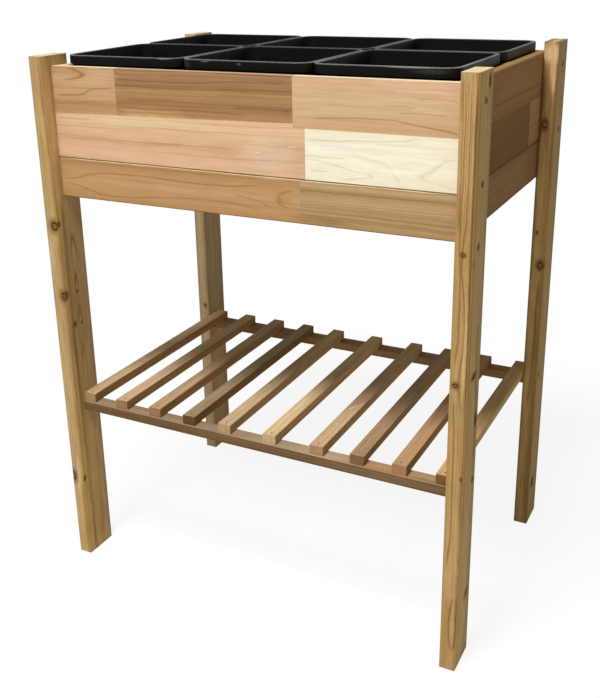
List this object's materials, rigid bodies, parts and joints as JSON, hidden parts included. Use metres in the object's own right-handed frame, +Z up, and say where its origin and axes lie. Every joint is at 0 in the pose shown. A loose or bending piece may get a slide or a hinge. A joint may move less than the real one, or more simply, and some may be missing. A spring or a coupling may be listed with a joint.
{
  "type": "raised garden bed",
  "caption": "Waist-high cedar garden bed: a boarded box on tall legs holds lift-out square black pots, with a slatted shelf below.",
  "frame": {"origin": "on the floor, under the middle of the bed", "axes": "+X to the right along the front, +Y to the back, +Z up"},
  "size_m": [0.7336, 0.51, 0.914],
  "materials": {
    "leg_cedar": "planed, unfinished",
    "panel_cedar": "planed, unfinished, glued from staves",
    "stick_cedar": "planed, unfinished",
    "pot_plastic": "moulded, satin, scuffed",
    "screw_steel": "dull coated",
    "nail_steel": "dull"
  },
  "bodies": {
    "bed": {"leg_front_left": "leg_cedar", "leg_front_right": "leg_cedar", "leg_rear_left": "leg_cedar", "leg_rear_right": "leg_cedar", "front_upper_board": "panel_cedar", "front_lower_board": "panel_cedar", "rear_upper_board": "panel_cedar", "rear_lower_board": "panel_cedar", "left_upper_board": "panel_cedar", "left_lower_board": "panel_cedar", "right_upper_board": "panel_cedar", "right_lower_board": "panel_cedar", "shelf_front_rail": "stick_cedar", "shelf_rear_rail": "stick_cedar", "shelf_slat_01": "stick_cedar", "shelf_slat_02": "stick_cedar", "shelf_slat_03": "stick_cedar", "shelf_slat_04": "stick_cedar", "shelf_slat_05": "stick_cedar", "shelf_slat_06": "stick_cedar", "shelf_slat_07": "stick_cedar", "shelf_slat_08": "stick_cedar", "shelf_slat_09": "stick_cedar", "shelf_slat_10": "stick_cedar", "floor_front_cleat": "stick_cedar", "floor_rear_cleat": "stick_cedar", "floor_slat_1": "stick_cedar", "floor_slat_2": "stick_cedar", "floor_slat_3": "stick_cedar", "floor_slat_4": "stick_cedar", "floor_slat_5": "stick_cedar", "floor_slat_6": "stick_cedar", "panel_screws": "screw_steel", "shelf_screws": "screw_steel", "side_board_screws": "screw_steel", "cleat_screws": "screw_steel", "shelf_slat_nails": "nail_steel", "floor_slat_nails": "nail_steel"},
    "front_left_pot": {"pot_front_left": "pot_plastic"},
    "front_middle_pot": {"pot_front_middle": "pot_plastic"},
    "front_right_pot": {"pot_front_right": "pot_plastic"},
    "rear_left_pot": {"pot_rear_left": "pot_plastic"},
    "rear_middle_pot": {"pot_rear_middle": "pot_plastic"},
    "rear_right_pot": {"pot_rear_right": "pot_plastic"}
  },
  "joints": [
    {"name": "front_left_pot_lift", "type": "slide", "parent": "bed", "child": "front_left_pot", "axis": [0, 0, 1], "range_m": [0, 0.25]},
    {"name": "front_middle_pot_lift", "type": "slide", "parent": "bed", "child": "front_middle_pot", "axis": [0, 0, 1], "range_m": [0, 0.25]},
    {"name": "front_right_pot_lift", "type": "slide", "parent": "bed", "child": "front_right_pot", "axis": [0, 0, 1], "range_m": [0, 0.25]},
    {"name": "rear_left_pot_lift", "type": "slide", "parent": "bed", "child": "rear_left_pot", "axis": [0, 0, 1], "range_m": [0, 0.25]},
    {"name": "rear_middle_pot_lift", "type": "slide", "parent": "bed", "child": "rear_middle_pot", "axis": [0, 0, 1], "range_m": [0, 0.25]},
    {"name": "rear_right_pot_lift", "type": "slide", "parent": "bed", "child": "rear_right_pot", "axis": [0, 0, 1], "range_m": [0, 0.25]}
  ]
}
